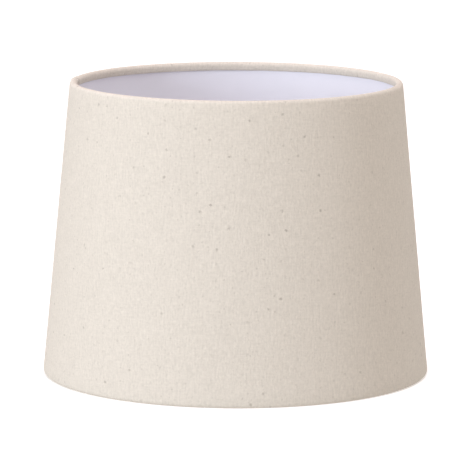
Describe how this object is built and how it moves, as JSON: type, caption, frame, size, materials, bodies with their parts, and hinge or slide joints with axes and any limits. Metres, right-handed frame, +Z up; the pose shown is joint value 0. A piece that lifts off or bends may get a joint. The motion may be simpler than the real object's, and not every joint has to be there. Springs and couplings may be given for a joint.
{
  "type": "lamp shade",
  "caption": "Tapered drum shade of natural canvas on a stiff white lining, with wire rings in rolled hems and an arm-carried fitter with a loose reducer.",
  "frame": {"origin": "centre of the bottom rim, at the height of the surface that the shade stands on", "axes": "+Z up along the shade's axis towards the narrower rim; -Y is the front; one fitter arm points along +Y, and the cover's seam is just behind the left side, 170 degrees from +X"},
  "size_m": [0.25, 0.25, 0.19],
  "materials": {
    "canvas": "plain-weave natural cotton with small seed flecks",
    "lining": "smooth satin white",
    "tape": "satin translucent white",
    "frame_wire": "white powder coat",
    "fitter_steel": "white powder coat",
    "reducer_plastic": "moulded white, satin"
  },
  "bodies": {
    "shade": {"fabric_cover": "canvas", "lining_panel": "lining", "seam_tape": "tape", "top_ring": "frame_wire", "bottom_ring": "frame_wire", "fitter_arm_1": "frame_wire", "fitter_arm_2": "frame_wire", "fitter_arm_3": "frame_wire", "fitter_ring": "fitter_steel"},
    "reducer": {"reducer_ring": "reducer_plastic"}
  },
  "joints": [
    {"name": "reducer_lift", "type": "slide", "parent": "shade", "child": "reducer", "axis": [0, 0, 1], "range_m": [0, 0.175]}
  ]
}
